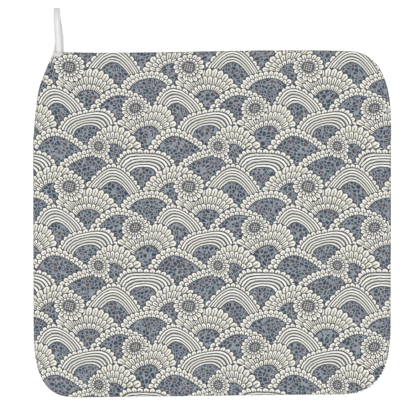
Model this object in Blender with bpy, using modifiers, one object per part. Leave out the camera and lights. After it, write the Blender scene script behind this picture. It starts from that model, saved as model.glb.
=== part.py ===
"""Square hand towel with a tape hanging loop, lying face up.

Metres, +Z up. The origin is the centre of the towel's underside, +X points to
the towel's right and +Y to the edge that carries the loop.
"""

import math
from collections import namedtuple

import bmesh
import bpy
from mathutils import Vector

COLLECTION_NAME = "hanging_hand_towel"

# Towel outline. Each rounded corner is a quarter of a superellipse that ends on
# the two sides it joins, at side_x and side_y, and starts its reach back along them.
Corner = namedtuple("Corner", "side_x side_y reach_x reach_y exponent")
TOP_RIGHT = Corner(side_x=0.1504, side_y=0.1445, reach_x=0.0389, reach_y=0.0644, exponent=2.55)
BOTTOM_RIGHT = Corner(side_x=0.1500, side_y=-0.1431, reach_x=0.0510, reach_y=0.0694, exponent=3.1)
BOTTOM_LEFT = Corner(side_x=-0.1490, side_y=-0.1456, reach_x=0.0393, reach_y=0.0652, exponent=3.0)

# The top side sags beside the loop and rises before the far corner: its two
# handles lie this far below and above the straight line.
TOP_SIDE_WAVE = 0.0025

# The corner that carries the loop is cut away in a long slanted shoulder.
SHOULDER_FOOT = Vector((-0.1494, 0.0667))
SHOULDER_FOOT_HANDLE = Vector((-0.1459, 0.1196))
SHOULDER_TIP_HANDLE = Vector((-0.1453, 0.1118))
SHOULDER_TIP = Vector((-0.1322, 0.1436))

# Towel cloth
PILE_THICKNESS = 0.0026
EDGE_ROUNDING = 0.00105
EDGE_ROUNDING_STEPS = 3
GRID_CELLS = 32
GRID_EDGE_GRADING = 0.55
OUTLINE_STEPS = 48

# Tape of the hanging loop. Going down from the fold, the rear leg comes out from
# behind the front leg until it is all at its right at SPREAD_START of the height.
TAPE_WIDTH = 0.0053
TAPE_THICKNESS = 0.0006
CLEARANCE = 0.0003
SEWN_LENGTH = 0.009
LOOP_TOP_Y = 0.1805
LOOP_INNER_HEIGHT = 0.006
FRONT_LEG_X = -0.1281
FRONT_LEG_LEAN = 0.0011
FOLD_SLANT = 0.0005
LEG_SPREAD = 0.0015
SPREAD_START = 0.35
LEG_STEPS = 14
SEWN_STEPS = 3
FOLD_STEPS = 12
TAPE_COLUMNS = 2

# Where the two tape ends lie under the corner, the cloth rides over them and
# its pile is pressed thinner by the stitches.
TAPE_STACK_HEIGHT = 2 * (TAPE_THICKNESS + CLEARANCE)
LIFT_MARGIN = 0.004
LIFT_FADE = 0.014
PRESSED_PILE_SHARE = 0.7

TOWEL_COLOUR = (0.36, 0.37, 0.36, 1.0)
TOWEL_ROUGHNESS = 0.95
TAPE_COLOUR = (0.86, 0.86, 0.85, 1.0)
TAPE_ROUGHNESS = 0.8


def clear_scene():
    for old_object in list(bpy.data.objects):
        bpy.data.objects.remove(old_object, do_unlink=True)


def fabric_material(name, colour, roughness):
    material = bpy.data.materials.new(name)
    material.use_nodes = True
    shader = material.node_tree.nodes["Principled BSDF"]
    shader.inputs["Base Color"].default_value = colour
    shader.inputs["Roughness"].default_value = roughness
    shader.inputs["Metallic"].default_value = 0.0
    material.diffuse_color = colour
    return material


def smooth_step(value):
    clamped = min(max(value, 0.0), 1.0)
    return clamped * clamped * (3.0 - 2.0 * clamped)


# Outline


def shares_between(first, last, steps):
    return [first + (last - first) * step / steps for step in range(steps + 1)]


def corner_point(corner, share):
    """A point of a rounded corner, from share 0 on the top or bottom to share 1 on the left or right."""
    sign_x = math.copysign(1.0, corner.side_x)
    sign_y = math.copysign(1.0, corner.side_y)
    centre_x = corner.side_x - sign_x * corner.reach_x
    centre_y = corner.side_y - sign_y * corner.reach_y
    angle = share * math.pi / 2
    power = 2.0 / corner.exponent
    return Vector((
        centre_x + sign_x * corner.reach_x * abs(math.sin(angle)) ** power,
        centre_y + sign_y * corner.reach_y * abs(math.cos(angle)) ** power,
    ))


def corner_arc(corner, first_share, last_share):
    shares = shares_between(first_share, last_share, OUTLINE_STEPS)
    return [corner_point(corner, share) for share in shares]


def cubic_curve(start, start_handle, end_handle, end):
    points = []
    for t in shares_between(0.0, 1.0, OUTLINE_STEPS):
        points.append(
            start * (1 - t) ** 3
            + start_handle * 3 * (1 - t) ** 2 * t
            + end_handle * 3 * (1 - t) * t ** 2
            + end * t ** 3
        )
    return points


def waved_side(start, end, wave):
    """A side that dips by the wave's handle in its first half and rises by it in the second."""
    dip = Vector((0.0, wave))
    return cubic_curve(start, start.lerp(end, 1 / 3) - dip, start.lerp(end, 2 / 3) + dip, end)


def outline_sides():
    """The bottom, top, left and right sides, each from one corner's middle to the next."""
    shoulder = cubic_curve(SHOULDER_FOOT, SHOULDER_FOOT_HANDLE, SHOULDER_TIP_HANDLE, SHOULDER_TIP)
    waved_top = waved_side(SHOULDER_TIP, corner_point(TOP_RIGHT, 0.0), TOP_SIDE_WAVE)
    bottom = corner_arc(BOTTOM_LEFT, 0.5, 0.0) + corner_arc(BOTTOM_RIGHT, 0.0, 0.5)
    top = waved_top + corner_arc(TOP_RIGHT, 0.0, 0.5)
    left = corner_arc(BOTTOM_LEFT, 0.5, 1.0) + shoulder
    right = corner_arc(BOTTOM_RIGHT, 0.5, 1.0) + corner_arc(TOP_RIGHT, 1.0, 0.5)
    return bottom, top, left, right


def points_at(polyline, shares):
    """The points that lie at the given shares of a polyline's length."""
    lengths = [0.0]
    for previous, current in zip(polyline, polyline[1:]):
        lengths.append(lengths[-1] + (current - previous).length)
    found = []
    segment = 0
    for share in shares:
        target = share * lengths[-1]
        while segment < len(polyline) - 2 and lengths[segment + 1] < target:
            segment += 1
        span = lengths[segment + 1] - lengths[segment]
        along = (target - lengths[segment]) / span if span > 0 else 0.0
        found.append(polyline[segment].lerp(polyline[segment + 1], along))
    return found


def graded_shares(cells):
    """Shares from 0 to 1 that crowd towards both ends."""
    shares = []
    for index in range(cells + 1):
        even = index / cells
        crowded = 0.5 * (1.0 - math.cos(math.pi * even))
        shares.append(even + (crowded - even) * GRID_EDGE_GRADING)
    return shares


# Towel


def lift_share(x, y):
    """1 over the sewn tape ends, fading to 0 around them."""
    left = FRONT_LEG_X - TAPE_WIDTH / 2
    right = FRONT_LEG_X + LEG_SPREAD + TAPE_WIDTH / 2
    bottom = SHOULDER_TIP.y - SEWN_LENGTH
    outside_x = max(left - x, x - right, 0.0)
    outside_y = max(bottom - y, 0.0)
    distance = math.hypot(outside_x, outside_y)
    return 1.0 - smooth_step((distance - LIFT_MARGIN) / LIFT_FADE)


def underside_position(sides, column_share, row_share, column, row):
    """A point of the underside, blended between the four sides of the outline."""
    bottom, top, left, right = sides
    u = column_share
    v = row_share
    across = bottom[column].lerp(top[column], v)
    along = left[row].lerp(right[row], u)
    corners = bottom[0].lerp(bottom[-1], u).lerp(top[0].lerp(top[-1], u), v)
    flat = across + along - corners
    return Vector((flat.x, flat.y, TAPE_STACK_HEIGHT * lift_share(flat.x, flat.y)))


def make_towel(collection, material):
    shares = graded_shares(GRID_CELLS)
    sides = [points_at(side, shares) for side in outline_sides()]
    mesh = bpy.data.meshes.new("towel")
    shape = bmesh.new()
    bmesh.ops.create_grid(shape, x_segments=GRID_CELLS, y_segments=GRID_CELLS, size=0.5)
    for vertex in shape.verts:
        column = round((vertex.co.x + 0.5) * GRID_CELLS)
        row = round((vertex.co.y + 0.5) * GRID_CELLS)
        vertex.co = underside_position(sides, shares[column], shares[row], column, row)
    shape.to_mesh(mesh)
    shape.free()
    towel = bpy.data.objects.new("towel", mesh)
    collection.objects.link(towel)
    mesh.materials.append(material)

    pile_height = towel.vertex_groups.new(name="pile_height")
    for vertex in mesh.vertices:
        pressed = lift_share(vertex.co.x, vertex.co.y)
        pile_height.add([vertex.index], 1.0 - (1.0 - PRESSED_PILE_SHARE) * pressed, "REPLACE")

    thickness = towel.modifiers.new("thickness", "SOLIDIFY")
    thickness.thickness = PILE_THICKNESS
    thickness.offset = 1.0
    thickness.vertex_group = pile_height.name
    rounding = towel.modifiers.new("rounding", "BEVEL")
    rounding.width = EDGE_ROUNDING
    rounding.segments = EDGE_ROUNDING_STEPS
    rounding.limit_method = "ANGLE"
    rounding.angle_limit = math.radians(50)
    mesh.shade_smooth()
    return towel


# Hanging loop


def loop_route():
    """The tape's centre line: rear leg from its sewn end, fold, front leg to its sewn end."""
    fold_radius = (LOOP_INNER_HEIGHT + TAPE_THICKNESS) / 2
    fold_y = LOOP_TOP_Y - TAPE_THICKNESS / 2 - fold_radius
    edge_y = SHOULDER_TIP.y + 2 * CLEARANCE
    sewn_y = SHOULDER_TIP.y - SEWN_LENGTH
    rear_z = TAPE_THICKNESS / 2
    front_z = rear_z + TAPE_THICKNESS + CLEARANCE
    top_z = rear_z + 2 * fold_radius

    front_top_x = FRONT_LEG_X - FRONT_LEG_LEAN
    rear_top_x = front_top_x - FOLD_SLANT
    rear_base_x = FRONT_LEG_X + LEG_SPREAD

    route = []
    for step in range(SEWN_STEPS):
        y = sewn_y + (edge_y - sewn_y) * step / SEWN_STEPS
        route.append((rear_base_x, y, rear_z))
    for step in range(LEG_STEPS):
        share = step / LEG_STEPS
        behind = smooth_step((share - SPREAD_START) / (1.0 - SPREAD_START))
        x = rear_base_x + (rear_top_x - rear_base_x) * behind
        route.append((x, edge_y + (fold_y - edge_y) * share, rear_z))
    for step in range(FOLD_STEPS):
        share = step / FOLD_STEPS
        x = rear_top_x + FOLD_SLANT * share
        y = fold_y + fold_radius * math.sin(math.pi * share)
        z = rear_z + fold_radius * (1.0 - math.cos(math.pi * share))
        route.append((x, y, z))
    for step in range(LEG_STEPS):
        share = step / LEG_STEPS
        x = front_top_x + (FRONT_LEG_X - front_top_x) * share
        z = top_z + (front_z - top_z) * smooth_step(share)
        route.append((x, fold_y + (edge_y - fold_y) * share, z))
    for step in range(SEWN_STEPS + 1):
        route.append((FRONT_LEG_X, edge_y + (sewn_y - edge_y) * step / SEWN_STEPS, front_z))
    return [Vector(point) for point in route]


def make_hanging_loop(collection, material):
    route = loop_route()
    segments = len(route) - 1
    mesh = bpy.data.meshes.new("hanging_loop")
    shape = bmesh.new()
    bmesh.ops.create_grid(shape, x_segments=TAPE_COLUMNS, y_segments=segments, size=0.5)
    for vertex in shape.verts:
        station = round((vertex.co.y + 0.5) * segments)
        sideways = Vector((vertex.co.x * TAPE_WIDTH, 0.0, 0.0))
        vertex.co = route[station] + sideways
    shape.to_mesh(mesh)
    shape.free()
    loop = bpy.data.objects.new("hanging_loop", mesh)
    collection.objects.link(loop)
    mesh.materials.append(material)

    thickness = loop.modifiers.new("thickness", "SOLIDIFY")
    thickness.thickness = TAPE_THICKNESS
    thickness.offset = 0.0
    mesh.shade_smooth()
    return loop


def main():
    clear_scene()
    collection = bpy.data.collections.new(COLLECTION_NAME)
    bpy.context.scene.collection.children.link(collection)
    towelling = fabric_material("printed_towelling", TOWEL_COLOUR, TOWEL_ROUGHNESS)
    tape = fabric_material("white_tape", TAPE_COLOUR, TAPE_ROUGHNESS)
    make_towel(collection, towelling)
    make_hanging_loop(collection, tape)


main()
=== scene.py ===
import math
import random
from collections import namedtuple

import bpy
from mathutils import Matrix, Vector, noise


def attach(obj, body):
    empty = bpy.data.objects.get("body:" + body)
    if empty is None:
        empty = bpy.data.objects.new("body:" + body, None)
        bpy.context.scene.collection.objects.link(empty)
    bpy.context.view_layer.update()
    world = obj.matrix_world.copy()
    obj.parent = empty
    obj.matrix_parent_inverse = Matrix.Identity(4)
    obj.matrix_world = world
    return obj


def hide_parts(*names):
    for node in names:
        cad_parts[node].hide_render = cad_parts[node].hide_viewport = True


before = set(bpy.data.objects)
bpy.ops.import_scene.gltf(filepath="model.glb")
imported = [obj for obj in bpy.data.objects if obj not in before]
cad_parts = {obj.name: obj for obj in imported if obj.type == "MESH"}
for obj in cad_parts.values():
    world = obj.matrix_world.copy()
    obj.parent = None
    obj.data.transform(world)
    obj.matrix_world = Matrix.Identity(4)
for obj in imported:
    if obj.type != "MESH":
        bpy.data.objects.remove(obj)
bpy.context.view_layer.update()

# Photograph and camera: the towel's centre and scale in the 416 pixel frame.
PHOTO_SIZE_PX = 416
TOWEL_CENTRE_PX = Vector((211.5, 223.5))
METRES_PER_PX = 0.0008372
CAMERA_LENS_MM = 120.0
CAMERA_SENSOR_MM = 36.0

# Towel outline, the same rounded corners and sides as the solid's.
Corner = namedtuple("Corner", "side_x side_y reach_x reach_y exponent")
TOP_RIGHT = Corner(side_x=0.1504, side_y=0.1445, reach_x=0.0389, reach_y=0.0644, exponent=2.55)
BOTTOM_RIGHT = Corner(side_x=0.1500, side_y=-0.1431, reach_x=0.0510, reach_y=0.0694, exponent=3.1)
BOTTOM_LEFT = Corner(side_x=-0.1490, side_y=-0.1456, reach_x=0.0393, reach_y=0.0652, exponent=3.0)
TOP_SIDE_WAVE = 0.0025
SHOULDER_FOOT = Vector((-0.1494, 0.0667))
SHOULDER_FOOT_HANDLE = Vector((-0.1459, 0.1196))
SHOULDER_TIP_HANDLE = Vector((-0.1453, 0.1118))
SHOULDER_TIP = Vector((-0.1322, 0.1436))
OUTLINE_STEPS = 96

# Towel cloth
PILE_THICKNESS = 0.0026
PRESSED_PILE_SHARE = 0.7
LIFT_MARGIN = 0.004
LIFT_FADE = 0.014
FACE_CELLS = 170
RIM_STEPS = 8
SOFT_RISE = 0.00022
SOFT_RISE_SCALE = 0.034
SOFT_RISE_OCTAVES = 3
RAGGED_EDGE = 0.00022
RAGGED_EDGE_AT_CORNER = 0.00045
RAGGED_EDGE_SCALE = 0.0045
RAGGED_EDGE_SLICE = 5.0
RAGGED_EDGE_OCTAVES = 2
NOISE_FALLOFF = 1.0
NOISE_FREQUENCY_STEP = 2.0
SHAGGY_CORNER_REACH = 0.09

# Tape of the hanging loop, along the same route as the solid's.
TAPE_WIDTH = 0.0053
TAPE_THICKNESS = 0.0006
CLEARANCE = 0.0003
TAPE_STACK_HEIGHT = 2 * (TAPE_THICKNESS + CLEARANCE)
SEWN_LENGTH = 0.009
LOOP_TOP_Y = 0.1805
LOOP_INNER_HEIGHT = 0.006
FRONT_LEG_X = -0.1281
FRONT_LEG_LEAN = 0.0011
FOLD_SLANT = 0.0005
LEG_SPREAD = 0.0015
SPREAD_START = 0.35

# Print: rows of fans that overlap like scales, with small flowers between them.
# It repeats over a square tile. Sizes are in millimetres from the tile's corner.
TILE_MM = 100.0
Motif = namedtuple("Motif", "x y radius kind")
ARCS, PETALS, MESH, FLOWER = range(4)
MOTIFS = (
    Motif(3, 1, 28, ARCS),
    Motif(52, 3, 26, PETALS),
    Motif(27, 17, 27, MESH),
    Motif(77, 15, 28, ARCS),
    Motif(1, 35, 26, PETALS),
    Motif(51, 32, 28, MESH),
    Motif(24, 50, 28, ARCS),
    Motif(74, 52, 26, PETALS),
    Motif(98, 66, 27, MESH),
    Motif(48, 68, 27, ARCS),
    Motif(26, 84, 26, PETALS),
    Motif(76, 82, 28, MESH),
    Motif(38, 27, 11, FLOWER),
    Motif(88, 60, 12, FLOWER),
    Motif(11, 93, 11, FLOWER),
)
OUTLINE_MM = 0.42
STROKE_MM = 0.4
STROKE_BLUR_MM = 0.12
LINE_PITCH_MM = 2.2
LINE_HALF_SHARE = 0.23
LINE_BLUR_SHARE = 0.07
CREAM_BAND_SHARE = 0.6
BAND_TINT_STEP = 0.382
MOTIF_TINT_STEP_X = 0.37
MOTIF_TINT_STEP_Y = 0.61
NET_CELL_MM = 2.9
NET_LINE_SHARE = 0.1
NET_BLUR_SHARE = 0.03
NAVY_CELLS_END = 0.4
TEAL_CELLS_END = 0.66
PRINT_SHIFT_X_MM = 5.0
PRINT_SHIFT_Y_MM = 30.0

# The rows are drawn a little out of true, by slow waves and a small wobble.
MM_A_METRE = 1000.0
SWAY_MM = 2.0
SWAY_PHASE = 0.6
HEAVE_MM = 2.0
HEAVE_PHASE = 2.1
SLANTED_HEAVE_MM = 1.6
WOBBLE_MM = 0.8
WOBBLES_A_METRE = 260.0

# Rows of petals, from each motif's rim inwards.
Tier = namedtuple("Tier", "depth petals lobe half_turn")
FAN_TIERS = (
    Tier(depth=0.0, petals=34, lobe=1.6, half_turn=0.0),
    Tier(depth=3.6, petals=34, lobe=1.6, half_turn=0.5),
)
PETAL_TIERS = (
    Tier(depth=0.0, petals=30, lobe=2.2, half_turn=0.0),
    Tier(depth=6.0, petals=30, lobe=2.0, half_turn=0.5),
    Tier(depth=12.0, petals=22, lobe=1.8, half_turn=0.0),
)
FLOWER_TIERS = (
    Tier(depth=0.0, petals=16, lobe=1.5, half_turn=0.0),
    Tier(depth=4.0, petals=16, lobe=1.2, half_turn=0.5),
)
ARC_END_MM = 14.8
ARC_PETAL_END_MM = 1.5 * LINE_PITCH_MM
MESH_PETAL_END_MM = 7.2
PETAL_END_MM = 17.0
FLOWER_END_MM = 7.6
PETAL_SHADE_DEPTH_MM = 6.5
VEIN_STROKE_SHARE = 0.7
VEIN_START_MM = 1.8
STAMEN_PITCH_MM = 1.7
STAMEN_RADIUS_MM = 0.55
STAMEN_BLUR_MM = 0.15


def smooth_step(value):
    clamped = min(max(value, 0.0), 1.0)
    return clamped * clamped * (3.0 - 2.0 * clamped)


def new_object(name, data):
    added = bpy.data.objects.new(name, data)
    bpy.context.scene.collection.objects.link(added)
    return added


def add_map(mesh, name, places):
    """A map that holds each point's own place."""
    layer = mesh.uv_layers.new(name=name)
    for loop in mesh.loops:
        layer.data[loop.index].uv = places[loop.vertex_index]


# Shader arithmetic


class Signal:
    """A value in a node tree, so that shader maths reads as ordinary arithmetic."""

    def __init__(self, tree, socket):
        self.tree = tree
        self.socket = socket

    def math(self, operation, *others):
        return calculate(self.tree, operation, self, *others)

    def __add__(self, other):
        return self.math("ADD", other)

    def __radd__(self, other):
        return self.math("ADD", other)

    def __sub__(self, other):
        return self.math("SUBTRACT", other)

    def __rsub__(self, other):
        return calculate(self.tree, "SUBTRACT", other, self)

    def __mul__(self, other):
        return self.math("MULTIPLY", other)

    def __truediv__(self, other):
        return self.math("DIVIDE", other)

    def __gt__(self, other):
        return self.math("GREATER_THAN", other)

    def __lt__(self, other):
        return self.math("LESS_THAN", other)


def plug(tree, target, value):
    if isinstance(value, Signal):
        tree.links.new(value.socket, target)
    else:
        target.default_value = value


def calculate(tree, operation, *values):
    node = tree.nodes.new("ShaderNodeMath")
    node.operation = operation
    for index, value in enumerate(values):
        plug(tree, node.inputs[index], value)
    return Signal(tree, node.outputs[0])


def combine(tree, x, y, z):
    node = tree.nodes.new("ShaderNodeCombineXYZ")
    for index, value in enumerate((x, y, z)):
        plug(tree, node.inputs[index], value)
    return Signal(tree, node.outputs[0])


def separate(tree, vector):
    node = tree.nodes.new("ShaderNodeSeparateXYZ")
    plug(tree, node.inputs[0], vector)
    return [Signal(tree, output) for output in node.outputs]


def choose(tree, share, low, high, kind="RGBA"):
    """low where share is 0, high where it is 1."""
    node = tree.nodes.new("ShaderNodeMix")
    node.data_type = kind
    inputs = [socket for socket in node.inputs if socket.enabled]
    plug(tree, inputs[0], share)
    plug(tree, inputs[1], low)
    plug(tree, inputs[2], high)
    output = next(socket for socket in node.outputs if socket.enabled)
    return Signal(tree, output)


def band(distance, half_width, softness):
    """1 around 0 and 0 further out, changing over the softness on both sides of half_width."""
    tree = distance.tree
    node = tree.nodes.new("ShaderNodeMapRange")
    node.interpolation_type = "SMOOTHSTEP"
    plug(tree, node.inputs[0], distance.math("ABSOLUTE"))
    plug(tree, node.inputs[1], half_width - softness)
    plug(tree, node.inputs[2], half_width + softness)
    plug(tree, node.inputs[3], 1.0)
    plug(tree, node.inputs[4], 0.0)
    return Signal(tree, node.outputs[0])


def noise_value(tree, place, scale, detail=2.0, roughness=0.5):
    node = tree.nodes.new("ShaderNodeTexNoise")
    plug(tree, node.inputs["Vector"], place)
    plug(tree, node.inputs["Scale"], scale)
    plug(tree, node.inputs["Detail"], detail)
    plug(tree, node.inputs["Roughness"], roughness)
    return Signal(tree, node.outputs["Fac"])


# Colours. The photograph's white background is over-exposed, so a surface that
# reads as a given display colour has that colour divided by this brightness.
SHOWN_WHITE = 1.38


def shown(red, green, blue):
    """The surface colour that shows as the given 0 to 255 display colour."""
    channels = []
    for value in (red, green, blue):
        share = value / 255
        linear = share / 12.92 if share <= 0.04045 else ((share + 0.055) / 1.055) ** 2.4
        channels.append(linear / SHOWN_WHITE)
    return (*channels, 1.0)


INK = shown(82, 86, 97)
CREAM = shown(255, 253, 241)
PALE = shown(208, 206, 193)
PETAL_SHADE = shown(210, 205, 188)
NAVY = shown(66, 74, 92)
TEAL = shown(64, 80, 88)
PLUM = shown(94, 84, 90)
NET_LINE = shown(149, 156, 163)
PLAIN_BACK = shown(236, 235, 230)
TAPE_MIDDLE = shown(247, 247, 247)
# Painted shade for the tape's edges, where they turn away from the light
TAPE_SIDE_PAINTED_SHADE = shown(216, 216, 216)
# Painted light for the side of the leg behind, where the front leg shades it
TAPE_SIDE_PAINTED_LIGHT = shown(243, 243, 243)
# Painted shade round the tape's fold, where it curves away from the light
TAPE_FOLD_SHADE = shown(218, 218, 218)
THREAD = shown(240, 240, 238)


# Print


def front_motif(tree, across, up):
    """The motif that shows at a point: of those that cover it, a flower or else the lowest fan."""
    best_rise = 0.0
    best_place = (0.0, 0.0, 1.0)
    best_kind = (0.0, 0.0, 0.0)
    for motif in MOTIFS:
        dx = (across - motif.x).math("WRAP", TILE_MM / 2, -TILE_MM / 2)
        dy = (up - motif.y).math("WRAP", TILE_MM / 2, -TILE_MM / 2)
        reach = calculate(tree, "SQRT", dx * dx + dy * dy)
        in_front = 3 * TILE_MM if motif.kind == FLOWER else TILE_MM
        rise = (reach < motif.radius) * (dy + in_front)
        ahead = rise > best_rise
        place = combine(tree, dx, dy, float(motif.radius))
        best_place = choose(tree, ahead, best_place, place, "VECTOR")
        tint = (motif.x * MOTIF_TINT_STEP_X + motif.y * MOTIF_TINT_STEP_Y) % 1.0
        best_kind = choose(tree, ahead, best_kind, (float(motif.kind), tint, 0.0), "VECTOR")
        best_rise = rise.math("MAXIMUM", best_rise)
    kind, tint, _ = separate(tree, best_kind)
    return separate(tree, best_place), kind, tint, best_rise > 0.5


def net_colour(tree, across, up):
    """A fine light net over dark cells of three inks."""
    place = combine(tree, across / NET_CELL_MM, up / NET_CELL_MM, 0.0)
    edges = tree.nodes.new("ShaderNodeTexVoronoi")
    edges.feature = "DISTANCE_TO_EDGE"
    cells = tree.nodes.new("ShaderNodeTexVoronoi")
    for node in (edges, cells):
        plug(tree, node.inputs["Vector"], place)
        plug(tree, node.inputs["Scale"], 1.0)
    pick, _, _ = separate(tree, Signal(tree, cells.outputs["Color"]))
    cell = choose(tree, pick > NAVY_CELLS_END, NAVY, TEAL)
    cell = choose(tree, pick > TEAL_CELLS_END, cell, PLUM)
    line = band(Signal(tree, edges.outputs["Distance"]), NET_LINE_SHARE, NET_BLUR_SHARE)
    return choose(tree, line, cell, NET_LINE)


def stamen_colour(tree, dx, dy):
    """The flower's eye: rows of pale dots on dark ink."""
    column = (dx / STAMEN_PITCH_MM).math("FRACT") - 0.5
    row = (dy / STAMEN_PITCH_MM).math("FRACT") - 0.5
    from_dot = calculate(tree, "SQRT", column * column + row * row) * STAMEN_PITCH_MM
    return choose(tree, band(from_dot, STAMEN_RADIUS_MM, STAMEN_BLUR_MM), INK, PALE)


def petal_tier(tree, below, tier, inward, reach, angle):
    """A row of petals over what lies below, from its own depth inwards."""
    phase = angle * (tier.petals / 2) + tier.half_turn * math.pi
    side = phase.math("SINE").math("ABSOLUTE")
    middle = phase.math("COSINE").math("ABSOLUTE")
    from_edge = inward - tier.depth - (1.0 - side) * tier.lobe
    petal_width = reach * (2.0 / tier.petals)
    outline = band(side * petal_width, STROKE_MM, STROKE_BLUR_MM)
    vein_line = band(middle * petal_width, STROKE_MM * VEIN_STROKE_SHARE, STROKE_BLUR_MM)
    vein = vein_line * (from_edge > VEIN_START_MM)
    paper = choose(tree, (from_edge / PETAL_SHADE_DEPTH_MM).math("MINIMUM", 1.0), CREAM, PETAL_SHADE)
    fill = choose(tree, outline.math("MAXIMUM", vein), paper, INK)
    petal = choose(tree, band(from_edge.math("MAXIMUM", 0.0), OUTLINE_MM, STROKE_BLUR_MM), fill, INK)
    return choose(tree, from_edge > -OUTLINE_MM, below, petal)


def petal_rows(tree, tiers, inside, inward, reach, angle, end):
    """Rows of petals from the rim inwards, and what lies inside them from the end depth on."""
    colour = INK
    for tier in tiers:
        colour = petal_tier(tree, colour, tier, inward, reach, angle)
    rim = band(inward - end, OUTLINE_MM, STROKE_BLUR_MM)
    return choose(tree, rim, choose(tree, inward < end, inside, colour), INK)


def print_colour(tree, place):
    """The printed colour at a place on the face, given in metres."""
    x, y, _ = separate(tree, place)
    turn = 2 * math.pi / TILE_MM
    wobble = noise_value(tree, place, WOBBLES_A_METRE, detail=1.0) - 0.5
    across = x * MM_A_METRE + PRINT_SHIFT_X_MM
    up = y * MM_A_METRE + PRINT_SHIFT_Y_MM
    sway = (up * (2 * turn) + SWAY_PHASE).math("SINE") * SWAY_MM
    slanted_sway = ((across + up) * turn).math("SINE") * SWAY_MM
    heave = (across * (2 * turn) + HEAVE_PHASE).math("SINE") * HEAVE_MM
    slanted_heave = ((up - across) * turn).math("SINE") * SLANTED_HEAVE_MM
    across = across + (sway + slanted_sway) + wobble * WOBBLE_MM
    up = up + (heave + slanted_heave) - wobble * WOBBLE_MM
    (dx, dy, radius), kind, tint, covered = front_motif(tree, across, up)
    reach = calculate(tree, "SQRT", dx * dx + dy * dy)
    angle = dx.math("ARCTAN2", dy)
    inward = radius - reach
    net = net_colour(tree, across, up)

    # Nested arcs
    rings = inward / LINE_PITCH_MM
    ring_tone = (rings.math("FLOOR") * BAND_TINT_STEP + tint).math("FRACT")
    ring_paper = choose(tree, ring_tone > CREAM_BAND_SHARE, CREAM, PALE)
    ring_line = band(rings.math("FRACT") - 0.5, LINE_HALF_SHARE, LINE_BLUR_SHARE)
    lined = choose(tree, ring_line, ring_paper, INK)
    arcs = choose(tree, inward < ARC_END_MM, net, lined)

    # Rows of petals, over the arcs, over the net and by themselves
    arcs_fan = petal_rows(tree, FAN_TIERS[:1], arcs, inward, reach, angle, ARC_PETAL_END_MM)
    mesh_fan = petal_rows(tree, FAN_TIERS, net, inward, reach, angle, MESH_PETAL_END_MM)
    petal_fan = petal_rows(tree, PETAL_TIERS, net, inward, reach, angle, PETAL_END_MM)
    stamens = stamen_colour(tree, dx, dy)
    flower = petal_rows(tree, FLOWER_TIERS, stamens, inward, reach, angle, FLOWER_END_MM)

    colour = choose(tree, kind > ARCS + 0.5, arcs_fan, petal_fan)
    colour = choose(tree, kind > PETALS + 0.5, colour, mesh_fan)
    colour = choose(tree, kind > MESH + 0.5, colour, flower)
    return choose(tree, covered, net, colour)


# Materials

# Relief of the pile, from the height of its tufts, fibres and nap; the same height sets painted shade,
# darker where the pile is lower
TUFTS_A_METRE = 1000.0
TUFT_SHARE = 0.35
FIBRES_A_METRE = 3600.0
FIBRE_SHARE = 0.35
NAP_A_METRE = 240.0
NAP_SHARE = 0.3
MEAN_PILE_HEIGHT = 0.5
PILE_RELIEF = 0.0008
PILE_PAINTED_SHADE_DARKEST = 0.75
PILE_PAINTED_SHADE_RANGE = 0.5

# Where the print ends: at the rim and round a pale patch at the loop's foot
PRINT_FUZZ = 0.0007
PRINT_END_ON_RIM = 0.6
PRINT_END_FADE = 0.1
PRINT_END_UNEVENNESS = 0.8
PALE_PATCH_X = SHOULDER_TIP.x + 0.0033
PALE_PATCH_Y = SHOULDER_TIP.y - 0.0012
PALE_PATCH_RADIUS = 0.0023
PALE_PATCH_STRETCH = 1.7

# Weave of the tape with painted shade in its hollows, painted shade at its edges and round its fold,
# painted light on the side of the leg behind, and its sewing thread with painted shade in its twist
WARP_PITCH = 0.00055
WEFT_PITCH = 0.0009
WEFT_STAGGER = 1.5
WEAVE_RELIEF = 0.0002
WEAVE_PAINTED_SHADE_DARKEST = 0.93
WEAVE_PAINTED_SHADE_RANGE = 0.14
TAPE_SIDE_FALLOFF = 1.6
FOLD_SHADE = 0.8
FOLD_SHADE_REACH = 0.009
FOLD_SHADE_FADE = 0.005
# Painted light on the side of the leg behind, in a band before the fold
PAINTED_LIGHT_FROM_FOLD = 0.0155
PAINTED_LIGHT_REACH = 0.008
PAINTED_LIGHT_FADE = 0.02
THREAD_TWIST_PITCH = 0.0006
THREAD_MEAN_TWIST_SHADE = 0.95
THREAD_TWIST_SHADE_SWING = 0.05


def new_material(name, roughness):
    material = bpy.data.materials.new(name)
    material.use_nodes = True
    tree = material.node_tree
    shader = tree.nodes["Principled BSDF"]
    shader.inputs["Roughness"].default_value = roughness
    shader.inputs["Specular IOR Level"].default_value = 0.15
    return material, tree, shader


def add_bump(tree, shader, height, strength, distance):
    bump = tree.nodes.new("ShaderNodeBump")
    bump.inputs["Strength"].default_value = strength
    bump.inputs["Distance"].default_value = distance
    plug(tree, bump.inputs["Height"], height)
    tree.links.new(bump.outputs["Normal"], shader.inputs["Normal"])


def uv_place(tree, name):
    node = tree.nodes.new("ShaderNodeUVMap")
    node.uv_map = name
    return Signal(tree, node.outputs["UV"])


def pile_height(tree, place):
    """The short pile, about 0.5 high: domed tufts and fine fibres over a slower lay of the nap."""
    cells = tree.nodes.new("ShaderNodeTexVoronoi")
    cells.voronoi_dimensions = "2D"
    cells.feature = "SMOOTH_F1"
    plug(tree, cells.inputs["Vector"], place)
    plug(tree, cells.inputs["Scale"], TUFTS_A_METRE)
    plug(tree, cells.inputs["Smoothness"], 0.5)
    tufts = 1.0 - Signal(tree, cells.outputs["Distance"])
    fibres = noise_value(tree, place, FIBRES_A_METRE, detail=3.0, roughness=0.6)
    nap = noise_value(tree, place, NAP_A_METRE)
    return tufts * TUFT_SHARE + fibres * FIBRE_SHARE + nap * NAP_SHARE


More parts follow.
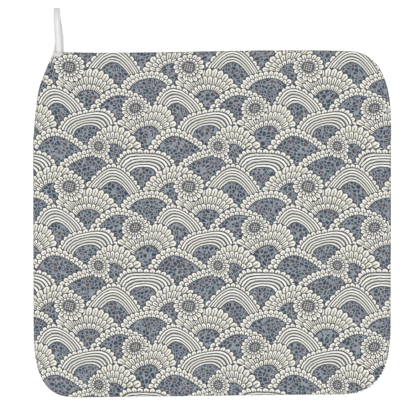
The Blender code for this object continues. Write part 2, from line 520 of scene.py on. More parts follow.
def fuzzed_place(tree, place):
    """The place moved a little by the lie of the fibres, which roughens the print's edges."""
    x, y, _ = separate(tree, place)
    lean_x = noise_value(tree, place, FIBRES_A_METRE) - 0.5
    lean_y = noise_value(tree, combine(tree, y, x, 0.0), FIBRES_A_METRE) - 0.5
    return combine(tree, x + lean_x * PRINT_FUZZ, y + lean_y * PRINT_FUZZ, 0.0)


def scaled_colour(tree, colour, amount):
    node = tree.nodes.new("ShaderNodeVectorMath")
    node.operation = "SCALE"
    plug(tree, node.inputs[0], colour if isinstance(colour, Signal) else colour[:3])
    plug(tree, node.inputs["Scale"], amount)
    return Signal(tree, node.outputs[0])


def finish_pile(tree, shader, colour, height):
    """Painted shade darkens the colour between the tufts, where the pile is lower, with a faint sheen and
    the pile's relief.
    """
    # Painted shade: the colour is darkened where the pile is lower, between the tufts and fibres
    painted_relief_shade = PILE_PAINTED_SHADE_DARKEST + height * PILE_PAINTED_SHADE_RANGE
    plug(tree, shader.inputs["Base Color"], scaled_colour(tree, colour, painted_relief_shade))
    shader.inputs["Sheen Weight"].default_value = 0.08
    shader.inputs["Sheen Roughness"].default_value = 0.5
    add_bump(tree, shader, height, strength=0.6, distance=PILE_RELIEF)


def printed_pile_material():
    """The print fades out round the rim, and misses a small pale patch at the foot of the loop."""
    material, tree, shader = new_material("printed_pile", 0.95)
    place = uv_place(tree, "PrintPlace")
    height = pile_height(tree, place)
    rim, _, _ = separate(tree, uv_place(tree, "RimPlace"))
    relief = height - MEAN_PILE_HEIGHT
    printed = band(rim + relief * PRINT_END_UNEVENNESS, PRINT_END_ON_RIM, PRINT_END_FADE)
    x, y, _ = separate(tree, place)
    from_patch_x = (x - PALE_PATCH_X) / PALE_PATCH_STRETCH
    from_patch_y = y - PALE_PATCH_Y
    from_patch = (from_patch_x * from_patch_x + from_patch_y * from_patch_y).math("SQRT")
    patch = band(from_patch + relief * PRINT_FUZZ, PALE_PATCH_RADIUS, PRINT_FUZZ)
    printed = printed * (1.0 - patch)
    colour = choose(tree, printed, PLAIN_BACK, print_colour(tree, fuzzed_place(tree, place)))
    finish_pile(tree, shader, colour, height)
    return material


def plain_pile_material():
    material, tree, shader = new_material("plain_pile", 0.95)
    place = uv_place(tree, "PrintPlace")
    finish_pile(tree, shader, PLAIN_BACK, pile_height(tree, place))
    return material


def tape_material(fold_at):
    """Fine plain weave, with painted shade in its hollows, and painted shade that greys the edges and round
    the fold, so it is brightest along the middle.

    The side of the leg behind has painted light, paler where the loop stands open and the front leg shades
    it; the tape's subsurface scattering lets real light through as well.
    """
    material, tree, shader = new_material("woven_tape", 0.75)
    shader.inputs["Subsurface Weight"].default_value = 0.5
    shader.inputs["Subsurface Radius"].default_value = (1.0, 1.0, 1.0)
    shader.inputs["Subsurface Scale"].default_value = TAPE_THICKNESS
    along, across, _ = separate(tree, uv_place(tree, "TapePlace"))
    warp = (across * (2 * math.pi / WARP_PITCH)).math("SINE").math("ABSOLUTE")
    weft = (along * (2 * math.pi / WEFT_PITCH) + warp * WEFT_STAGGER).math("SINE").math("ABSOLUTE")
    weave = warp * 0.5 + weft * 0.5
    from_middle = (across / (TAPE_WIDTH / 2)).math("ABSOLUTE")
    # Painted light: the side of the leg behind is made paler where the front leg shades it
    from_painted_light = along - (fold_at - PAINTED_LIGHT_FROM_FOLD)
    painted_light = band(from_painted_light, PAINTED_LIGHT_REACH, PAINTED_LIGHT_FADE) * (along < fold_at)
    painted_side_shade_and_light = choose(tree, painted_light, TAPE_SIDE_PAINTED_SHADE, TAPE_SIDE_PAINTED_LIGHT)
    # Painted shade greys the tape towards both edges
    colour = choose(tree, from_middle.math("POWER", TAPE_SIDE_FALLOFF), TAPE_MIDDLE, painted_side_shade_and_light)
    # Painted shade greys the tape round its fold
    fold_shade = band(along - fold_at, FOLD_SHADE_REACH, FOLD_SHADE_FADE) * FOLD_SHADE
    colour = choose(tree, fold_shade, colour, TAPE_FOLD_SHADE)
    # Painted shade: the weave's hollows are darkened, following the same weave height as the bump
    painted_relief_shade = WEAVE_PAINTED_SHADE_DARKEST + weave * WEAVE_PAINTED_SHADE_RANGE
    plug(tree, shader.inputs["Base Color"], scaled_colour(tree, colour, painted_relief_shade))
    add_bump(tree, shader, weave, strength=0.6, distance=WEAVE_RELIEF)
    return material


def thread_material():
    material, tree, shader = new_material("sewing_thread", 0.6)
    x, y, z = separate(tree, Signal(tree, tree.nodes.new("ShaderNodeTexCoord").outputs["Object"]))
    twist = ((x + y + z) * (2 * math.pi / THREAD_TWIST_PITCH)).math("SINE")
    # Painted shade: the thread is darkened in the grooves of its twist, following the same twist as the
    # bump
    painted_relief_shade = THREAD_MEAN_TWIST_SHADE + twist * THREAD_TWIST_SHADE_SWING
    plug(tree, shader.inputs["Base Color"], scaled_colour(tree, THREAD, painted_relief_shade))
    add_bump(tree, shader, twist, strength=0.3, distance=0.0001)
    return material


# Towel outline


def shares_between(first, last, steps):
    return [first + (last - first) * step / steps for step in range(steps + 1)]


def corner_point(corner, share):
    """A point of a rounded corner, from share 0 on the top or bottom to share 1 on the left or right."""
    sign_x = math.copysign(1.0, corner.side_x)
    sign_y = math.copysign(1.0, corner.side_y)
    centre_x = corner.side_x - sign_x * corner.reach_x
    centre_y = corner.side_y - sign_y * corner.reach_y
    angle = share * math.pi / 2
    power = 2.0 / corner.exponent
    return Vector((
        centre_x + sign_x * corner.reach_x * abs(math.sin(angle)) ** power,
        centre_y + sign_y * corner.reach_y * abs(math.cos(angle)) ** power,
    ))


def corner_arc(corner, first_share, last_share):
    return [corner_point(corner, share) for share in shares_between(first_share, last_share, OUTLINE_STEPS)]


def cubic_curve(start, start_handle, end_handle, end):
    points = []
    for t in shares_between(0.0, 1.0, OUTLINE_STEPS):
        points.append(
            start * (1 - t) ** 3
            + start_handle * 3 * (1 - t) ** 2 * t
            + end_handle * 3 * (1 - t) * t ** 2
            + end * t ** 3
        )
    return points


def waved_side(start, end, wave):
    dip = Vector((0.0, wave))
    return cubic_curve(start, start.lerp(end, 1 / 3) - dip, start.lerp(end, 2 / 3) + dip, end)


def outline_sides():
    """The bottom, top, left and right sides, each from one corner's middle to the next."""
    shoulder = cubic_curve(SHOULDER_FOOT, SHOULDER_FOOT_HANDLE, SHOULDER_TIP_HANDLE, SHOULDER_TIP)
    waved_top = waved_side(SHOULDER_TIP, corner_point(TOP_RIGHT, 0.0), TOP_SIDE_WAVE)
    bottom = corner_arc(BOTTOM_LEFT, 0.5, 0.0) + corner_arc(BOTTOM_RIGHT, 0.0, 0.5)
    top = waved_top + corner_arc(TOP_RIGHT, 0.0, 0.5)
    left = corner_arc(BOTTOM_LEFT, 0.5, 1.0) + shoulder
    right = corner_arc(BOTTOM_RIGHT, 0.5, 1.0) + corner_arc(TOP_RIGHT, 1.0, 0.5)
    return bottom, top, left, right


def lengths_along(polyline):
    """How far along a polyline each of its points is."""
    lengths = [0.0]
    for previous, current in zip(polyline, polyline[1:]):
        lengths.append(lengths[-1] + (current - previous).length)
    return lengths


def points_at(polyline, cells):
    """Points that cut a polyline into cells of equal length."""
    lengths = lengths_along(polyline)
    found = []
    segment = 0
    for share in shares_between(0.0, 1.0, cells):
        target = share * lengths[-1]
        while segment < len(polyline) - 2 and lengths[segment + 1] < target:
            segment += 1
        span = lengths[segment + 1] - lengths[segment]
        along = (target - lengths[segment]) / span if span > 0 else 0.0
        found.append(polyline[segment].lerp(polyline[segment + 1], along))
    return found


def edge_ring():
    """The outline's points anticlockwise from the bottom left corner's middle, with outward directions."""
    bottom, top, left, right = (points_at(side, FACE_CELLS) for side in outline_sides())
    ring = bottom[:-1] + right[:-1] + top[::-1][:-1] + left[::-1][:-1]
    count = len(ring)
    outward = []
    for index in range(count):
        tangent = ring[(index + 1) % count] - ring[index - 1]
        outward.append(Vector((tangent.y, -tangent.x)).normalized())
    return ring, outward


# Towel surface


def lift_share(x, y):
    """1 over the sewn tape ends, fading to 0 around them."""
    left = FRONT_LEG_X - TAPE_WIDTH / 2
    right = FRONT_LEG_X + LEG_SPREAD + TAPE_WIDTH / 2
    bottom = SHOULDER_TIP.y - SEWN_LENGTH
    outside_x = max(left - x, x - right, 0.0)
    outside_y = max(bottom - y, 0.0)
    distance = math.hypot(outside_x, outside_y)
    return 1.0 - smooth_step((distance - LIFT_MARGIN) / LIFT_FADE)


def underside_height(x, y):
    return TAPE_STACK_HEIGHT * lift_share(x, y)


def pile_thickness(x, y):
    pressed = 1.0 - (1.0 - PRESSED_PILE_SHARE) * lift_share(x, y)
    place = Vector((x / SOFT_RISE_SCALE, y / SOFT_RISE_SCALE, 0.0))
    soft = noise.fractal(place, NOISE_FALLOFF, NOISE_FREQUENCY_STEP, SOFT_RISE_OCTAVES)
    return PILE_THICKNESS * pressed + SOFT_RISE * soft


def shaggy_corner_nearness(point):
    """1 at the bottom right corner, fading to 0 at its reach."""
    corner = Vector((BOTTOM_RIGHT.side_x, BOTTOM_RIGHT.side_y))
    return 1.0 - smooth_step((point - corner).length / SHAGGY_CORNER_REACH)


def raggedness(point):
    """How far the fuzzy edge stands out of its line at a point, more at the bottom right corner."""
    amount = RAGGED_EDGE + (RAGGED_EDGE_AT_CORNER - RAGGED_EDGE) * shaggy_corner_nearness(point)
    place = Vector((point.x / RAGGED_EDGE_SCALE, point.y / RAGGED_EDGE_SCALE, RAGGED_EDGE_SLICE))
    return amount * noise.fractal(place, NOISE_FALLOFF, NOISE_FREQUENCY_STEP, RAGGED_EDGE_OCTAVES)


def blended_grid(ring):
    """Points blended between the four sides of a ring, row by row from the bottom."""
    n = FACE_CELLS
    bottom = ring[0:n + 1]
    right = ring[n:2 * n + 1]
    top = ring[2 * n:3 * n + 1][::-1]
    left = (ring[3 * n:4 * n] + ring[0:1])[::-1]
    rows = []
    for row in range(n + 1):
        v = row / n
        points = []
        for column in range(n + 1):
            u = column / n
            across = bottom[column].lerp(top[column], v)
            along = left[row].lerp(right[row], u)
            corners = bottom[0].lerp(bottom[-1], u).lerp(top[0].lerp(top[-1], u), v)
            points.append(across + along - corners)
        rows.append(points)
    return rows


class ClothMesh:
    """Collects points, faces, three maps and a material for each face."""

    def __init__(self):
        self.points = []
        self.print_places = []
        self.bake_places = []
        self.rim_places = []
        self.faces = []
        self.face_materials = []
        self.face_bakes = []

    def add_point(self, position, print_place, bake_place, rim_share=0.0):
        self.points.append(position)
        self.print_places.append(print_place)
        self.bake_places.append(bake_place)
        self.rim_places.append((rim_share, 0.0))
        return len(self.points) - 1

    def add_face(self, corners, material_index, bake_corners=None):
        """bake_corners are the corners' own places in the bake map, where their points' don't serve."""
        self.faces.append(corners)
        self.face_materials.append(material_index)
        self.face_bakes.append(bake_corners or [self.bake_places[corner] for corner in corners])

    def build(self, name, materials):
        mesh = bpy.data.meshes.new(name)
        mesh.from_pydata(self.points, [], self.faces)
        for material in materials:
            mesh.materials.append(material)
        mesh.polygons.foreach_set("material_index", self.face_materials)
        add_map(mesh, "PrintPlace", self.print_places)
        add_map(mesh, "RimPlace", self.rim_places)
        bake_map = mesh.uv_layers.new(name="OFBake")
        for polygon, bake_corners in zip(mesh.polygons, self.face_bakes):
            for loop_index, bake_place in zip(polygon.loop_indices, bake_corners):
                bake_map.data[loop_index].uv = bake_place
        mesh.shade_smooth()
        return new_object(name, mesh)


PRINTED, PLAIN = 0, 1
EDGE_INSET = 0.00025
BAKE_FRONT_SHARE = 0.93
BAKE_BACK_START = 0.95
BAKE_BACK_SHARE = 0.045
BAKE_HALF_SPAN = 0.1545
BAKE_MARGIN = 0.004


def bake_place_front(place):
    scale = BAKE_FRONT_SHARE / (2 * BAKE_HALF_SPAN)
    return Vector((
        BAKE_MARGIN + (place.x + BAKE_HALF_SPAN) * scale,
        BAKE_MARGIN + (place.y + BAKE_HALF_SPAN) * scale,
    ))


def bake_place_back(place):
    scale_y = BAKE_FRONT_SHARE / (2 * BAKE_HALF_SPAN)
    scale_x = BAKE_BACK_SHARE / (2 * BAKE_HALF_SPAN)
    return Vector((
        BAKE_BACK_START + (place.x + BAKE_HALF_SPAN) * scale_x,
        BAKE_MARGIN + (place.y + BAKE_HALF_SPAN) * scale_y,
    ))


def make_towel():
    cloth = ClothMesh()
    ring, outward = edge_ring()
    rim = PILE_THICKNESS / 2
    count = len(ring)
    ragged = [raggedness(point) for point in ring]
    inner = [point - direction * (rim + EDGE_INSET) for point, direction in zip(ring, outward)]
    grid = blended_grid(inner)
    n = FACE_CELLS

    top = []
    bottom = []
    for points in grid:
        top_row = []
        bottom_row = []
        for point in points:
            low = underside_height(point.x, point.y)
            high = low + pile_thickness(point.x, point.y)
            top_row.append(cloth.add_point((point.x, point.y, high), point, bake_place_front(point)))
            bottom_row.append(cloth.add_point((point.x, point.y, low), point, bake_place_back(point), 1.0))
        top.append(top_row)
        bottom.append(bottom_row)
    for row in range(n):
        for column in range(n):
            corners = (
                top[row][column],
                top[row][column + 1],
                top[row + 1][column + 1],
                top[row + 1][column],
            )
            cloth.add_face(corners, PRINTED)
            corners = (
                bottom[row][column],
                bottom[row + 1][column],
                bottom[row + 1][column + 1],
                bottom[row][column + 1],
            )
            cloth.add_face(corners, PLAIN)

    def grid_loop(rows):
        return (
            rows[0][:-1]
            + [rows[row][n] for row in range(n)]
            + rows[n][::-1][:-1]
            + [rows[row][0] for row in range(n, 0, -1)]
        )

    loops = [grid_loop(top)]
    for step in range(1, RIM_STEPS):
        angle = math.pi * step / RIM_STEPS
        loop = []
        for index in range(count):
            base = inner[index]
            low = underside_height(base.x, base.y)
            thickness = pile_thickness(base.x, base.y)
            out = rim * math.sin(angle) + ragged[index] * math.sin(angle)
            flat = base + outward[index] * out
            height = low + thickness / 2 * (1 + math.cos(angle))
            unrolled = base + outward[index] * rim * angle
            bake_place = bake_place_front(unrolled)
            loop.append(cloth.add_point((flat.x, flat.y, height), unrolled, bake_place, step / RIM_STEPS))
        loops.append(loop)
    loops.append(grid_loop(bottom))
    for step in range(RIM_STEPS):
        for index in range(count):
            following = (index + 1) % count
            corners = (
                loops[step][index],
                loops[step + 1][index],
                loops[step + 1][following],
                loops[step][following],
            )
            if step < RIM_STEPS - 1:
                cloth.add_face(corners, PRINTED)
                continue
            below = [
                bake_place_front(inner[near] + outward[near] * rim * math.pi)
                for near in (index, following)
            ]
            bake_corners = (
                cloth.bake_places[corners[0]],
                below[0],
                below[1],
                cloth.bake_places[corners[3]],
            )
            cloth.add_face(corners, PLAIN, bake_corners)

    towel = cloth.build("towel_cloth", [printed_pile_material(), plain_pile_material()])
    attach(towel, "root")
    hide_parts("towel")
    return towel


# Hanging loop

TAPE_LEG_STEPS = 40
TAPE_FOLD_STEPS = 28
TAPE_SEWN_STEPS = 10
TapeProfile = namedtuple("TapeProfile", "across height")
TAPE_PROFILE = (
    TapeProfile(-0.5, 0.0),
    TapeProfile(-0.48, 0.42),
    TapeProfile(-0.43, 0.5),
    TapeProfile(-0.38, 0.3),
    TapeProfile(-0.3, 0.36),
    TapeProfile(-0.15, 0.42),
    TapeProfile(0.0, 0.44),
    TapeProfile(0.15, 0.42),
    TapeProfile(0.3, 0.36),
    TapeProfile(0.38, 0.3),
    TapeProfile(0.43, 0.5),
    TapeProfile(0.48, 0.42),
    TapeProfile(0.5, 0.0),
)

# The tape is cupped, so narrower, round its fold. Its front leg lies flatter, so
# wider at its right, towards its sewn end.
CUPPED_SHARE = 0.09
CUPPED_REACH = 0.006
CUPPED_FADE = 0.007
FLATTENED_SHARE = 0.22
FLATTENED_START = 0.5
FLATTENED_FADE = 0.35


def loop_route():
    """The tape's centre line: rear leg from its sewn end, fold, front leg to its sewn end."""
    fold_radius = (LOOP_INNER_HEIGHT + TAPE_THICKNESS) / 2
    fold_y = LOOP_TOP_Y - TAPE_THICKNESS / 2 - fold_radius
    edge_y = SHOULDER_TIP.y + 2 * CLEARANCE
    sewn_y = SHOULDER_TIP.y - SEWN_LENGTH
    rear_z = TAPE_THICKNESS / 2
    front_z = rear_z + TAPE_THICKNESS + CLEARANCE
    top_z = rear_z + 2 * fold_radius

    front_top_x = FRONT_LEG_X - FRONT_LEG_LEAN
    rear_top_x = front_top_x - FOLD_SLANT
    rear_base_x = FRONT_LEG_X + LEG_SPREAD

    route = []
    for step in range(TAPE_SEWN_STEPS):
        y = sewn_y + (edge_y - sewn_y) * step / TAPE_SEWN_STEPS
        route.append((rear_base_x, y, rear_z))
    for step in range(TAPE_LEG_STEPS):
        share = step / TAPE_LEG_STEPS
        behind = smooth_step((share - SPREAD_START) / (1.0 - SPREAD_START))
        x = rear_base_x + (rear_top_x - rear_base_x) * behind
        route.append((x, edge_y + (fold_y - edge_y) * share, rear_z))
    for step in range(TAPE_FOLD_STEPS):
        share = step / TAPE_FOLD_STEPS
        x = rear_top_x + FOLD_SLANT * share
        y = fold_y + fold_radius * math.sin(math.pi * share)
        z = rear_z + fold_radius * (1.0 - math.cos(math.pi * share))
        route.append((x, y, z))
    for step in range(TAPE_LEG_STEPS):
        share = step / TAPE_LEG_STEPS
        x = front_top_x + (FRONT_LEG_X - front_top_x) * share
        z = top_z + (front_z - top_z) * smooth_step(share)
        route.append((x, fold_y + (edge_y - fold_y) * share, z))
    for step in range(TAPE_SEWN_STEPS + 1):
        route.append((FRONT_LEG_X, edge_y + (sewn_y - edge_y) * step / TAPE_SEWN_STEPS, front_z))
    return [Vector(point) for point in route]


def make_hanging_loop():
    """The tape along its route, a little thicker along both woven edges."""
    route = loop_route()
    section = [(p.across * TAPE_WIDTH, p.height * TAPE_THICKNESS) for p in TAPE_PROFILE]
    section += [(across, -height) for across, height in section[-2:0:-1]]
    lengths = lengths_along(route)
    fold_start = TAPE_SEWN_STEPS + TAPE_LEG_STEPS
    front_start = fold_start + TAPE_FOLD_STEPS
    fold_at = lengths[fold_start + TAPE_FOLD_STEPS // 2]

    points = []
    places = []
    for index, centre in enumerate(route):
        before = route[max(index - 1, 0)]
        after = route[min(index + 1, len(route) - 1)]
        up = Vector((1.0, 0.0, 0.0)).cross(after - before).normalized()
        past_fold = abs(lengths[index] - fold_at) - CUPPED_REACH
        cupped = 1.0 - CUPPED_SHARE * (1.0 - smooth_step(past_fold / CUPPED_FADE))
        down_front = (index - front_start) / TAPE_LEG_STEPS
        flattened = 1.0 + FLATTENED_SHARE * smooth_step((down_front - FLATTENED_START) / FLATTENED_FADE)
        for across, height in section:
            spread = across * cupped * (flattened if across > 0.0 else 1.0)
            points.append(centre + Vector((spread, 0.0, 0.0)) + up * height)
            places.append((lengths[index], across))
    sides = len(section)
    faces = []
    for index in range(len(route) - 1):
        for side in range(sides):
            following = (side + 1) % sides
            first = index * sides
            faces.append((
                first + side,
                first + sides + side,
                first + sides + following,
                first + following,
            ))
    faces.append(tuple(range(sides)))
    last = (len(route) - 1) * sides
    faces.append(tuple(range(last + sides - 1, last - 1, -1)))

    mesh = bpy.data.meshes.new("tape_loop")
    mesh.from_pydata(points, [], faces)
    mesh.materials.append(tape_material(fold_at))
    add_map(mesh, "TapePlace", places)
    mesh.shade_smooth()
    tape = new_object("tape_loop", mesh)
    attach(tape, "root")
    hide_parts("hanging_loop")
    return tape


# Sewing and loose edges

TUBE_SIDES = 8

# Bar tack
BAR_TACK_STITCHES = 20
BAR_TACK_LEFT_X = -0.1320
BAR_TACK_RIGHT_X = -0.1238
BAR_TACK_FROM_TIP = 0.0022
BAR_TACK_HALF_HEIGHT = 0.0009
BAR_TACK_CREST = 0.00012
BAR_TACK_DIP = 0.00018
BAR_TACK_STEPS = 4
THREAD_RADIUS = 0.00016

# Small roll of unprinted cloth at the shoulder
RollPoint = namedtuple("RollPoint", "x y z radius")
CORNER_ROLL = (
    RollPoint(-0.13100, 0.1528, 0.00040, 0.00016),
    RollPoint(-0.13124, 0.1505, 0.00060, 0.00042),
    RollPoint(-0.13146, 0.1485, 0.00085, 0.00054),
    RollPoint(-0.13160, 0.1467, 0.00115, 0.00060),
    RollPoint(-0.13174, 0.1449, 0.00180, 0.00063),
    RollPoint(-0.13183, 0.1432, 0.00265, 0.00068),
    RollPoint(-0.13253, 0.1415, 0.00305, 0.00068),
    RollPoint(-0.13363, 0.1391, 0.00315, 0.00060),
    RollPoint(-0.13467, 0.1370, 0.00320, 0.00045),
    RollPoint(-0.13557, 0.1352, 0.00325, 0.00022),
)
ROLL_STEPS = 6

# Tufts, in rows round the rim
TuftRing = namedtuple("TuftRing", "along radius")
TUFT_RINGS = (TuftRing(0.0, 0.9), TuftRing(0.45, 1.0), TuftRing(0.88, 0.7))
TUFT_SIDES = 4
TUFT_SEED = 7
TUFT_ROWS = (0.14, 0.3, 0.46, 0.62)
TUFT_ROW_SCATTER = 0.08
TUFTS_A_ROW = 2200
TUFT_SCATTER = 0.3
TUFT_ROOT_DEPTH = 0.0002
TUFT_LENGTHS = (0.0006, 0.00095)
TUFT_RADII = (0.00013, 0.00022)
TUFT_LEAN = 0.5
TUFT_DROOPS = (-0.5, 0.1)
TUFT_CURL = 0.6
LOWEST_TUFT = 0.0001
TUFT_CELLS_A_ROW = 94
TUFT_CELL_RADIUS = 0.35

# Teeth of longer tufts at the bottom right corner
TUFT_GROWTH_AT_CORNER = 1.5
TUFT_TRIM_AT_CORNER = 0.3
TUFT_SWELL_AT_CORNER = 0.5
TOOTH_PITCH = 0.0027
TOOTH_DRIFT = 1.5
TOOTH_DRIFT_PITCH = 0.011
TOOTH_GAP_PALENESS = 0.6


def faces_between_rings(first, sides):
    """The faces between a ring of points that starts at first and the ring that follows it."""
    faces = []
    for side in range(sides):
        following = (side + 1) % sides
        faces.append((first + side, first + following, first + sides + following, first + sides + side))
    return faces


def make_tube(name, centres, radii, material):
    """A closed round tube along a line of points, with a map of its place across and up the towel."""
    points = []
    for index, centre in enumerate(centres):
        forward = centres[min(index + 1, len(centres) - 1)] - centres[max(index - 1, 0)]
        side = forward.cross(Vector((0.0, 0.0, 1.0))).normalized()
        up = side.cross(forward).normalized()
        for corner in range(TUBE_SIDES):
            angle = 2 * math.pi * corner / TUBE_SIDES
            points.append(centre + (side * math.cos(angle) + up * math.sin(angle)) * radii[index])
    faces = []
    for index in range(len(centres) - 1):
        faces += faces_between_rings(index * TUBE_SIDES, TUBE_SIDES)
    faces.append(tuple(range(TUBE_SIDES - 1, -1, -1)))
    last = len(points) - TUBE_SIDES
    faces.append(tuple(range(last, last + TUBE_SIDES)))
    mesh = bpy.data.meshes.new(name)
    mesh.from_pydata(points, [], faces)
    mesh.materials.append(material)
    add_map(mesh, "PrintPlace", [point.xy for point in points])
    mesh.shade_smooth()
    tube = new_object(name, mesh)
    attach(tube, "root")
    return tube


def cloth_top(x, y):
    return underside_height(x, y) + pile_thickness(x, y)


def make_bar_tack():
    """A tight zigzag that sews both tape ends to the cloth."""
    middle_y = SHOULDER_TIP.y - BAR_TACK_FROM_TIP
    centres = []
    for stitch in range(BAR_TACK_STITCHES):
        rising = 1.0 if stitch % 2 else -1.0
        for part in shares_between(0.0, 1.0, BAR_TACK_STEPS)[:-1]:
            share = (stitch + part) / BAR_TACK_STITCHES
            x = BAR_TACK_LEFT_X + (BAR_TACK_RIGHT_X - BAR_TACK_LEFT_X) * share
            y = middle_y + rising * BAR_TACK_HALF_HEIGHT * (2.0 * part - 1.0)
            arch = math.sin(math.pi * part)
            z = cloth_top(x, y) - BAR_TACK_DIP + (BAR_TACK_CREST + BAR_TACK_DIP) * arch
            centres.append(Vector((x, y, z)))
    return make_tube("bar_tack", centres, [THREAD_RADIUS] * len(centres), thread_material())


def make_corner_roll():
    """The corner's unprinted edge, turned in a small roll beside the tape."""
    centres = []
    radii = []
    for start, end in zip(CORNER_ROLL, CORNER_ROLL[1:]):
        for share in shares_between(0.0, 1.0, ROLL_STEPS)[:-1]:
            mixed = [a + (b - a) * share for a, b in zip(start, end)]
            centres.append(Vector(mixed[:3]))
            radii.append(mixed[3])
    return make_tube("corner_roll", centres, radii, plain_pile_material())


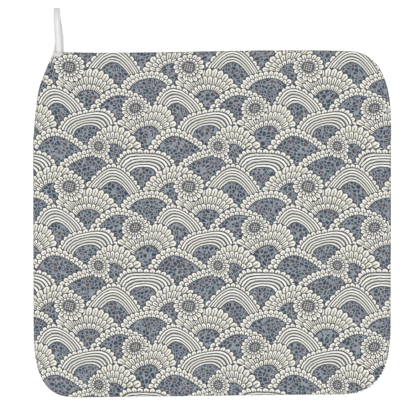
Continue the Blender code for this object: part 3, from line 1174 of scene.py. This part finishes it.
def make_edge_tufts():
    """Pile tufts that stand out all round the edge.

    At the bottom right corner they are longer, in uneven teeth with pale gaps between them.
    """
    draw = random.Random(TUFT_SEED)
    ring, outward = edge_ring()
    rim = PILE_THICKNESS / 2
    points = []
    print_places = []
    rim_places = []
    faces = []
    face_tufts = []
    step_length = sum((b - a).length for a, b in zip(ring, ring[1:] + ring[:1])) / TUFTS_A_ROW
    for tuft in range(TUFTS_A_ROW * len(TUFT_ROWS)):
        row, number = divmod(tuft, TUFTS_A_ROW)
        reach = (number + draw.uniform(-TUFT_SCATTER, TUFT_SCATTER)) / TUFTS_A_ROW * len(ring)
        index = math.floor(reach)
        following = (index + 1) % len(ring)
        place = ring[index % len(ring)].lerp(ring[following], reach - index)
        out = outward[index % len(ring)].lerp(outward[following], reach - index).normalized()
        along = Vector((-out.y, out.x, 0.0))
        travelled = number * step_length

        # Root on the rim
        rim_share = TUFT_ROWS[row] + draw.uniform(-TUFT_ROW_SCATTER, TUFT_ROW_SCATTER)
        angle = math.pi * rim_share
        base = place - out * (rim + EDGE_INSET)
        thickness = pile_thickness(base.x, base.y)
        middle_z = underside_height(base.x, base.y) + thickness / 2
        surface = base + out * rim * math.sin(angle)
        normal = Vector((out.x * math.sin(angle), out.y * math.sin(angle), math.cos(angle)))
        root = Vector((surface.x, surface.y, middle_z + thickness / 2 * math.cos(angle)))
        root -= normal * TUFT_ROOT_DEPTH

        # Bent line of the tuft
        nearness = shaggy_corner_nearness(place)
        drift = TOOTH_DRIFT * math.sin(2 * math.pi * travelled / TOOTH_DRIFT_PITCH)
        tooth = 0.5 + 0.5 * math.sin(2 * math.pi * travelled / TOOTH_PITCH + drift)
        growth = nearness * (TUFT_GROWTH_AT_CORNER * tooth - TUFT_TRIM_AT_CORNER)
        length = draw.uniform(*TUFT_LENGTHS) * (1.0 + growth)
        radius = draw.uniform(*TUFT_RADII) * (1.0 + TUFT_SWELL_AT_CORNER * nearness * tooth)
        lean = (normal + along * draw.uniform(-TUFT_LEAN, TUFT_LEAN)).normalized()
        droop = Vector((0.0, 0.0, draw.uniform(*TUFT_DROOPS)))
        curl = (lean + along * draw.uniform(-TUFT_CURL, TUFT_CURL) + droop).normalized()
        side = lean.cross(along).normalized()
        up = side.cross(lean).normalized()

        first = len(points)
        for tuft_ring in TUFT_RINGS:
            share = tuft_ring.along
            curled = share * share / 2
            centre = root + lean * length * (share - curled) + curl * length * curled
            for turn in range(TUFT_SIDES):
                around = 2 * math.pi * turn / TUFT_SIDES
                spoke = side * math.cos(around) + up * math.sin(around)
                points.append(centre + spoke * radius * tuft_ring.radius)
        points.append(root + (lean + curl) * length / 2)
        print_place = base + out * rim * angle
        print_places += [print_place] * (len(points) - first)
        paleness = TOOTH_GAP_PALENESS * nearness * (1.0 - tooth)
        rim_places += [(rim_share + paleness, 0.0)] * (len(points) - first)

        before = len(faces)
        for level in range(len(TUFT_RINGS) - 1):
            faces += faces_between_rings(first + level * TUFT_SIDES, TUFT_SIDES)
        last = first + (len(TUFT_RINGS) - 1) * TUFT_SIDES
        for turn in range(TUFT_SIDES):
            faces.append((last + turn, last + (turn + 1) % TUFT_SIDES, last + TUFT_SIDES))
        faces.append(tuple(range(first + TUFT_SIDES - 1, first - 1, -1)))
        face_tufts += [tuft] * (len(faces) - before)

    for point in points:
        point.z = max(point.z, LOWEST_TUFT)
    mesh = bpy.data.meshes.new("edge_tufts")
    mesh.from_pydata(points, [], faces)
    mesh.materials.append(printed_pile_material())
    add_map(mesh, "PrintPlace", print_places)
    add_map(mesh, "RimPlace", rim_places)
    bake_map = mesh.uv_layers.new(name="OFBake")
    for polygon, tuft in zip(mesh.polygons, face_tufts):
        cell_row, cell_column = divmod(tuft, TUFT_CELLS_A_ROW)
        for corner_number, loop_index in enumerate(polygon.loop_indices):
            around = 2 * math.pi * corner_number / len(polygon.loop_indices)
            bake_map.data[loop_index].uv = (
                (cell_column + 0.5 + TUFT_CELL_RADIUS * math.cos(around)) / TUFT_CELLS_A_ROW,
                (cell_row + 0.5 + TUFT_CELL_RADIUS * math.sin(around)) / TUFT_CELLS_A_ROW,
            )
    mesh.shade_smooth()
    tufts = new_object("edge_tufts", mesh)
    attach(tufts, "root")
    return tufts


# Stage, light and camera

FLOOR_SIZE = 6.0
FLOOR_DROP = 0.0002
WORLD_STRENGTH = 0.69
LAMP_DIAMETER = 2.0
LAMP_WATTS = 32.2
LAMP_PLACE = Vector((0.02, 0.05, 1.9))


def make_stage():
    bpy.ops.mesh.primitive_plane_add(size=FLOOR_SIZE, location=(0.0, 0.0, -FLOOR_DROP))
    floor = bpy.context.object
    floor.name = "floor"
    material, _, shader = new_material("pale_floor", 0.9)
    shader.inputs["Base Color"].default_value = (0.95, 0.95, 0.95, 1.0)
    floor.data.materials.append(material)

    world = bpy.data.worlds.new("studio")
    bpy.context.scene.world = world
    world.use_nodes = True
    background = world.node_tree.nodes["Background"]
    background.inputs["Color"].default_value = (1.0, 1.0, 1.0, 1.0)
    background.inputs["Strength"].default_value = WORLD_STRENGTH

    lamp = bpy.data.lights.new("soft_box", "AREA")
    lamp.shape = "DISK"
    lamp.size = LAMP_DIAMETER
    lamp.energy = LAMP_WATTS
    box = new_object("soft_box", lamp)
    box.location = LAMP_PLACE
    box.rotation_euler = (-LAMP_PLACE).to_track_quat("-Z", "Y").to_euler()


def make_camera():
    photo_centre = Vector((PHOTO_SIZE_PX / 2, PHOTO_SIZE_PX / 2))
    offset = (photo_centre - TOWEL_CENTRE_PX) * METRES_PER_PX
    view_width = PHOTO_SIZE_PX * METRES_PER_PX
    distance = view_width * CAMERA_LENS_MM / CAMERA_SENSOR_MM
    data = bpy.data.cameras.new("photo_camera")
    data.lens = CAMERA_LENS_MM
    data.sensor_width = CAMERA_SENSOR_MM
    camera = new_object("photo_camera", data)
    camera.location = (offset.x, -offset.y, PILE_THICKNESS + distance)
    bpy.context.scene.camera = camera


bpy.context.scene.view_settings.view_transform = "Standard"
make_camera()
make_stage()
towel_piece = make_towel()
tape_piece = make_hanging_loop()
tack_piece = make_bar_tack()
roll_piece = make_corner_roll()
tuft_piece = make_edge_tufts()
